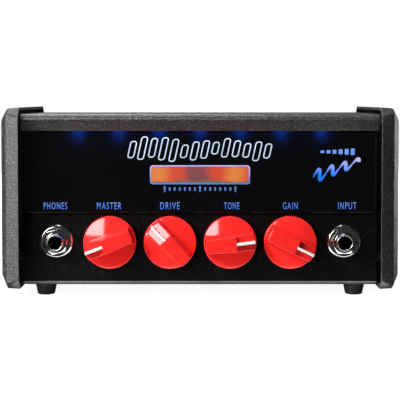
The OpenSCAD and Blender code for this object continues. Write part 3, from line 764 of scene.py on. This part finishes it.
class AMP_OT_fascia(bpy.types.Operator):
    """Make the acrylic fascia, the lit window and the line round it"""
    bl_idname = "amp_head.fascia"
    bl_label = "Fascia and Window"

    def execute(self, context):
        x, z = (FASCIA[0] + FASCIA[1])[[0, 2]] / 2
        w, h = (FASCIA[1] - FASCIA[0])[[0, 2]]
        centre = (0, middle("glow_window")[2])
        shell = Shell()
        shell.plate(rounded_box((x, z), (w, h), 0.6), FASCIA[0][1], FASCIA[1][1],
                    [rounded_box(centre, (49.2, 9.1), 1.3)], edge=0.35)
        make_piece("fascia_acrylic", shell, "fascia_acrylic", stands_for=["fascia"])
        shell = Shell()
        shell.plate(rounded_box(centre, (48.9, 8.8), 1.2), FASCIA[0][1] + 0.02, WINDOW[1][1] - 4, edge=0.15)
        shell.plate(rounded_box(centre, (57, 13.9), 0.6), WINDOW[1][1] - 3.9, WINDOW[1][1] - 2.6, edge=0.3)
        make_piece("window_guide", shell, "window_amber", stands_for=["glow_window"])
        shell = Shell()
        shell.ribbon(rounded_box(centre, (48.9, 8.8), 1.4, 8), 0.62, *ENGRAVED)
        make_piece("window_line", shell, "window_line")
        return {"FINISHED"}


def lettering(text, centre, height, width):
    """Flat letters as a mesh: the built-in font's outlines, scaled so that the word has the height
    and width given, and turned to face the front."""
    curve = bpy.data.curves.new(text, "FONT")
    curve.body, curve.extrude, curve.resolution_u, curve.space_character = text, 0.01, 3, 1.25
    holder = bpy.data.objects.new(text, curve)
    bpy.context.scene.collection.objects.link(holder)
    bpy.context.view_layer.update()
    mesh = bpy.data.meshes.new_from_object(holder.evaluated_get(bpy.context.evaluated_depsgraph_get()))
    bpy.data.objects.remove(holder)
    co = np.empty(len(mesh.vertices) * 3)
    mesh.vertices.foreach_get("co", co)
    co = co.reshape(-1, 3)
    faces = [list(p.vertices) for p in mesh.polygons]
    bpy.data.meshes.remove(mesh)
    low, high = co.min(0), co.max(0)
    unit = (co - (low + high) / 2) / (high - low)
    shell = Shell()
    back, front = ENGRAVED[1], ENGRAVED[0]
    points = np.stack([centre[0] + unit[:, 0] * width, (back + front) / 2 + unit[:, 2] * (back - front),
                       centre[1] + unit[:, 1] * height], -1)
    shell.points, shell.faces, shell.count = [points], faces, len(points)
    return shell


class AMP_OT_engraving(bpy.types.Operator):
    """Make the lit engraving: control names, slanted bars, a rising wave under blocks, and tick marks"""
    bl_idname = "amp_head.engraving"
    bl_label = "Lit Engraving"

    def execute(self, context):
        words = (("PHONES", -71.6, 11.6), ("MASTER", -45.0, 12.1), ("DRIVE", -14.9, 9.6),
                 ("TONE", 15.7, 7.6), ("GAIN", 44.7, 7.4), ("INPUT", 72.9, 9.0))
        for word, x, width in words:
            letters = lettering(word, (x, 45.2), 3.45, width)
            make_piece("label_" + word.lower(), letters, "labels")
        # Slanted rounded bars: heights follow a wave that swells and fades across the row
        shell = Shell()
        for i in range(14):
            x = -33.5 + i * 5.15
            tall = 5.0 + 4.2 * abs(math.sin(0.55 + i * 1.13)) + 3.0 * math.exp(-((i - 2.5) / 2.2) ** 2)
            bar = rounded_box((0, 0), (2.9, tall), 1.45, 7)
            bar = np.stack([bar[:, 0] + 0.22 * bar[:, 1] + x, bar[:, 1] + 73.1 + 0.9 * math.sin(i * 0.9)], -1)
            shell.ribbon(bar, 0.55, *ENGRAVED)
        make_piece("wave_bars", shell, "engraving")
        # A rising wave whose stroke swells and thins, under a short row of blocks
        shell = Shell()
        t = np.linspace(0, 1, 120)
        wave = np.stack([56 + 22.5 * t + 1.2 * np.sin(t * 7 * math.pi),
                         59.5 + 7.5 * t + (3.4 - 1.4 * t) * np.sin(t * 7 * math.pi)], -1)
        stroke = 0.45 + 1.3 * np.abs(np.sin(t * 3.5 * math.pi)) ** 0.7
        shell.ribbon(wave, stroke[:, None], *ENGRAVED, closed=False)
        make_piece("wave_sign", shell, "sign")
        shell = Shell()
        for i in range(6):
            shell.plate(rounded_box((60.5 + i * 3.0, 72.0), (1.9, 1.2 + 0.4 * i), 0.3, 3), *ENGRAVED)
        make_piece("sign_blocks", shell, "labels")
        shell = Shell()
        for i in range(15):
            tall = 2.6 if i % 7 == 0 else 1.5
            shell.ribbon(rounded_box((-17.5 + i * 2.5, 53.5), (0.5, tall), 0.2, 2), 0.35, *ENGRAVED)
        make_piece("tick_marks", shell, "marks")
        return {"FINISHED"}


def grip_grid(lengths, heights, half_base, half_top, base, r):
    """The grip bar as a grid. Along it, `lengths` runs from -1 to 1 of the way to the round rim and
    `heights` gives its top. Across it, each section climbs a drafted side, rounds the edge with a
    quarter circle of radius r and crosses the top. A point's distance along the bar is its length
    value times the half chord of the rim circle at its own offset, whose radius shrinks upwards."""
    low = 6.4 - 0.6
    s, h = np.asarray(lengths)[:, None], np.asarray(heights)[:, None]
    a = np.radians(np.linspace(0, 90, 6))[None, :]
    edge = np.minimum(r, np.maximum(h - base, 0.01) * 0.5)

    def half(z):
        return half_base + (half_top(s) - half_base) * np.clip((z - low) / (KNOB_FACE - low), 0, 1)

    wall_z = np.concatenate([base + 0 * h, np.minimum(base + 0.5 * (h - base), h - edge)], 1)
    bend_z = h - edge * (1 - np.sin(a))
    bend_x = half(h) - edge * (1 - np.cos(a))
    x = np.concatenate([half(wall_z), bend_x], 1)
    z = np.concatenate([wall_z, bend_z + 0 * bend_x], 1)
    flat = bend_x[:, -1:] * np.linspace(1, -1, 9)[None, 1:-1]
    x = np.concatenate([x, flat, -x[:, ::-1]], 1)
    z = np.concatenate([z, h + 0 * flat, z[:, ::-1]], 1)
    rim = 12.85 - 0.85 * np.clip((z - 1) / (KNOB_FACE - 1), 0, 1)
    y = s * np.sqrt(np.maximum(rim ** 2 - x ** 2, 0))
    return np.stack([x, y, z], -1)


def knob_parts(edge):
    """The skirt, the grip bar with its sloping notch, and the pointer fin, about their own axis. The
    skirt's face is a shallow dome whose height falls with the square of the radius."""
    edge_r, rim_r, base, fin_base = 12.2, 12.95, 5.6, 10.6
    r = np.append(np.linspace(0, 11.9, 9), [12.1, edge_r])
    dome = np.stack([r, 7.3 - 0.0102 * r ** 2], -1)
    rim = soften([dome[-1], [rim_r, 5.62], [rim_r, 1.0], [11.9, 1.0], [11.9, 3.0], [7.8, 5.2], [0, 5.2]],
                 [0, 0.6, 0.35, 0.2, 0.3, 0.3, 0], 5)
    skirt = np.vstack([dome, rim[1:]])
    along = soften([[-edge_r, base], [-edge_r, KNOB_FACE], [3.15, KNOB_FACE], [3.2, 15.0], [edge_r, 12.9],
                    [edge_r, base]], [0, 0.75, 0.25, 0.2, 0.5, 0], 5)
    top = np.stack([np.linspace(-11, 2.6, 8), np.full(8, KNOB_FACE)], -1)
    line = np.vstack([along[along[:, 0] <= -11.4], top, along[along[:, 0] > 2.8]])
    bar = grip_grid(line[:, 0] / edge_r, line[:, 1], 4.6,
                    lambda s: 3.72 - 0.55 * np.clip(-s, 0, 1) ** 1.5, base, edge)
    line = soften([[3.0, fin_base], [3.0, KNOB_FACE], [edge_r, KNOB_FACE], [edge_r, fin_base]],
                  [0, 0.2, 0.6, 0], 4)
    fin = grip_grid(line[:, 0] / edge_r, line[:, 1], 0.66, lambda s: 0.62 + 0 * s, fin_base, 0.22)
    return skirt, bar, fin


def turned_out(points, turn, centre):
    """Turns a knob's points clockwise about its axis, seen from the front, and stands them on the
    front panel: the knob's own up goes to Z, and its height goes towards -Y."""
    a = math.radians(turn)
    x = points[..., 0] * math.cos(a) + points[..., 1] * math.sin(a)
    z = -points[..., 0] * math.sin(a) + points[..., 1] * math.cos(a)
    return np.stack([centre[0] + x, PANEL_Y - points[..., 2], centre[1] + z], -1)


class AMP_OT_knobs(bpy.types.Operator):
    """Make the four knobs with their grip bars and pointer fins"""
    bl_idname = "amp_head.knobs"
    bl_label = "Knobs"

    def execute(self, context):
        skirt, bar, fin = knob_parts(context.scene.amp_knobs.edge_radius / MM)
        for name in KNOBS:
            centre = ((KNOBS.index(name) - 1.5) * KNOB_PITCH, CONTROL_Z)
            shell = Shell()
            shell.turned(skirt, (centre[0], PANEL_Y, centre[1]), steps=96)
            for grid, target, kind, look in (
                    (bar, shell, "knob", "knob_red"), (fin, Shell(), "pointer", "pointer_white")):
                placed = turned_out(grid, TURNS[name], centre)
                target.grid(placed, wrap_cols=True)
                target.cap(placed[0])
                target.cap(placed[-1])
                make_piece(f"{name}_{kind}", target, look, body=name + "_control",
                           stands_for=[f"{kind}_{name}"], sharp=42)
        return {"FINISHED"}


def nut_grid(across_flats, bore, low, high, turn):
    """A hexagon nut: at each angle the wall stands where the hexagon does, and the top edge is cut by
    a 30 degree cone, so its height falls with the distance outside the cone's circle."""
    a = np.linspace(0, 2 * math.pi, 96, endpoint=False)[:, None]
    fold = np.mod(a - math.radians(turn), math.pi / 3) - math.pi / 6
    wall = across_flats / 2 / np.cos(fold)
    crown = across_flats / 2 * 0.95
    drop = (wall - crown) * math.tan(math.radians(30))
    inner, outer = 0.3, 0.35
    one = np.ones_like(a)
    r = np.concatenate([one * bore, one * (bore + outer), one * crown, wall, wall, one * (bore + inner),
                        one * bore], 1)
    h = np.concatenate([one * (high - outer), one * high, one * high, high - drop, one * low, one * low,
                        one * (low + inner)], 1)
    return a, r, h


class AMP_OT_sockets(bpy.types.Operator):
    """Make the quarter-inch sockets: moulded bodies, threaded bushings, washers and nuts"""
    bl_idname = "amp_head.sockets"
    bl_label = "Sockets"

    def execute(self, context):
        washers, nuts = Shell(), Shell()
        for name, face, out, turn in (("phones_jack", PANEL_Y, -1, 15), ("input_jack", PANEL_Y, -1, 0),
                                      ("speaker_jack", REAR_Y, 1, 10)):
            x = middle(name)[0]
            place = (x, face, CONTROL_Z)
            outer, bore, end = 4.4, 3.25, -15
            ridge = np.arange(0.6, 5.4, 0.25)
            thread = np.stack([outer + 0.02 - 0.16 * (np.arange(len(ridge)) % 2), ridge], -1)
            collar = soften([[outer, 5.7], [outer, 6.3], [4.0, 6.8], [3.55, 6.8], [bore, 6.45], [bore, end]],
                            [0.1, 0.25, 0.25, 0.2, 0.2, 0], 4)
            profile = np.vstack([[[outer, -SHEET]], thread, collar, [[outer, end]]])
            bushing = Shell()
            bushing.turned(np.vstack([profile, profile[:1]]), place, out, steps=72)
            make_piece(name.replace("jack", "bushing"), bushing, "socket_nickel", stands_for=[name], sharp=30)
            block = Shell()
            ends = sorted((face - out * 28.2, face - out * 1.25))
            block.plate(rounded_box((x, CONTROL_Z), (16.2, 16.2), 1.2), *ends,
                        [circle((x, CONTROL_Z), 4.5, 48)], edge=0.4)
            make_piece(name.replace("jack", "socket_body"), block, "moulded")
            ring = soften([[4.6, 0.0], [8.1, 0.0], [8.3, 0.1], [8.3, 0.55], [7.45, 1.15], [4.9, 1.2],
                           [4.6, 1.0], [4.6, 0.0]],
                          [0, 0.1, 0.1, 0.12, 0.25, 0.1, 0.1, 0], 4)
            washers.turned(ring, place, out, steps=96)
            a, r, h = nut_grid(11.4, 4.45, 1.2, 3.8, turn)
            nuts.grid(np.stack([x + r * np.cos(a), face + out * h, CONTROL_Z + r * np.sin(a)], -1),
                      wrap_rows=True, wrap_cols=True)
        make_piece("socket_washers", washers, "socket_nickel", stands_for=["jack_washers"], sharp=28)
        make_piece("socket_nuts", nuts, "socket_nickel", stands_for=["jack_nuts"], sharp=24)
        return {"FINISHED"}


# ---- Stage ----

def area_light(name, place, target, size, power, colour=(1, 1, 1), spread=True, mirrored=True):
    """A rectangular light. Without spread it is only seen in reflections, and without mirrored it
    only lights rough surfaces."""
    light = bpy.data.lights.new(name, "AREA")
    light.shape, light.size, light.size_y = "RECTANGLE", *size
    light.energy, light.color = power, colour
    holder = bpy.data.objects.new(name, light)
    holder.location = place
    holder.rotation_euler = (Vector(target) - Vector(place)).to_track_quat("-Z", "Y").to_euler()
    holder.visible_camera = False
    holder.visible_diffuse, holder.visible_glossy = spread, mirrored
    bpy.context.scene.collection.objects.link(holder)


class AMP_OT_stage(bpy.types.Operator):
    """Make the camera, the soft lights, the pale surroundings and the floor"""
    bl_idname = "amp_head.stage"
    bl_label = "Stage"

    def execute(self, context):
        scene, settings = context.scene, context.scene.amp_stage
        camera = bpy.data.cameras.new("camera")
        camera.lens, camera.sensor_width, camera.shift_y = 105.8, 36, -0.1275
        camera.clip_start = 0.01
        holder = bpy.data.objects.new("camera", camera)
        holder.location = (0, -settings.camera_distance, 0.0977)
        holder.rotation_euler = Euler((math.radians(90 - 2.4), 0, 0))
        scene.collection.objects.link(holder)
        scene.camera = holder

        power, controls = settings.softbox_power, (0, -0.05, 0.04)
        area_light("softbox", (-0.715, -1.65, 0.39), controls, (0.69, 0.62), power, spread=False)
        area_light("key_light", (-0.50, -0.45, 0.45), controls, (0.25, 0.20), power * 0.55, mirrored=False)
        area_light("left_card", (-0.74, -0.42, 0.12), (-0.09, -0.05, 0.05), (0.22, 0.5), 2.0)
        area_light("front_fill", (-0.05, -0.75, 0.7), controls, (0.5, 0.3), 0.5, mirrored=False)
        area_light("side_light", (0.66, 0.26, 0.20), (0.09, 0, 0.05), (0.20, 0.5), settings.rim_power)
        area_light("top_light", (-0.1, -0.10, 0.75), (0, 0, 0.09), (0.5, 0.3), 1.6)
        area_light("back_light", (-0.25, 0.75, 0.85), (0, 0.05, 0.05), (0.6, 0.4), 5.0)
        area_light("rear_fill", (0.0, 0.85, 0.40), (0, 0.05, 0.05), (0.6, 0.4), 16.0, mirrored=False)
        area_light("floor_strip", (0, -0.0545, 0.001), (0, -0.0544, 1), (0.186, 0.019), 0.026)
        area_light("led_light", (0, -0.0412, 0.0825), (0, -0.046, 0.03), (0.14, 0.003), 0.015,
                   (0.05, 0.2, 1.0))

        floor = bpy.data.meshes.new("floor")
        floor.from_pydata([(-4, -4, 0), (4, -4, 0), (4, 4, 0), (-4, 4, 0)], [], [(0, 1, 2, 3)])
        look, tree, to = new_look("floor_white", Roughness=0.9, Emission_Strength=0.94)
        cloud = ramp(tree, noise(tree, 3.0, 2.0), 0.3, 0.7)
        feed(tree, to, {"Base Color": mix(tree, cloud, (0.22, 0.22, 0.22, 1), (0.26, 0.26, 0.26, 1))})
        to["Emission Color"].default_value = (1, 1, 1, 1)
        floor.materials.append(look)
        ground = bpy.data.objects.new("floor", floor)
        ground.visible_glossy = ground.visible_diffuse = False
        scene.collection.objects.link(ground)

        world = bpy.data.worlds.new("studio")
        world.use_nodes = True
        tree = world.node_tree
        path = add(tree, "LightPath").outputs["Is Camera Ray"]
        colour = mix(tree, path, (0.045, 0.046, 0.05, 1), (1, 1, 1, 1))
        tree.links.new(colour, tree.nodes["Background"].inputs["Color"])
        scene.world = world
        scene.view_settings.view_transform = "Standard"
        return {"FINISHED"}


class AMP_PT_panel(bpy.types.Panel):
    """Lists the amplifier head's pieces in the sidebar"""
    bl_label = "Amp Head"
    bl_idname = "AMP_PT_panel"
    bl_space_type = "VIEW_3D"
    bl_region_type = "UI"
    bl_category = "Amp Head"

    def draw(self, context):
        for group in SETTINGS:
            box = self.layout.box()
            for key in SETTINGS[group].__annotations__:
                box.prop(getattr(context.scene, group), key)
        for operator in OPERATORS:
            self.layout.operator(operator.bl_idname)


SETTINGS = {"amp_body": AmpBodySettings, "amp_glow": AmpGlowSettings,
            "amp_knobs": AmpKnobSettings, "amp_stage": AmpStageSettings}
OPERATORS = (AMP_OT_stage, AMP_OT_finishes, AMP_OT_cheeks, AMP_OT_sheet_metal, AMP_OT_fascia,
             AMP_OT_engraving, AMP_OT_knobs, AMP_OT_sockets)


def register():
    for group, cls in SETTINGS.items():
        bpy.utils.register_class(cls)
        setattr(bpy.types.Scene, group, bpy.props.PointerProperty(type=cls))
    for cls in (*OPERATORS, AMP_PT_panel):
        bpy.utils.register_class(cls)


def unregister():
    for cls in (AMP_PT_panel, *reversed(OPERATORS)):
        bpy.utils.unregister_class(cls)
    for group, cls in SETTINGS.items():
        delattr(bpy.types.Scene, group)
        bpy.utils.unregister_class(cls)


def main():
    register()
    for operator in OPERATORS:
        name = operator.bl_idname.split(".")[1]
        getattr(bpy.ops.amp_head, name)()


if __name__ == "__main__":
    main()
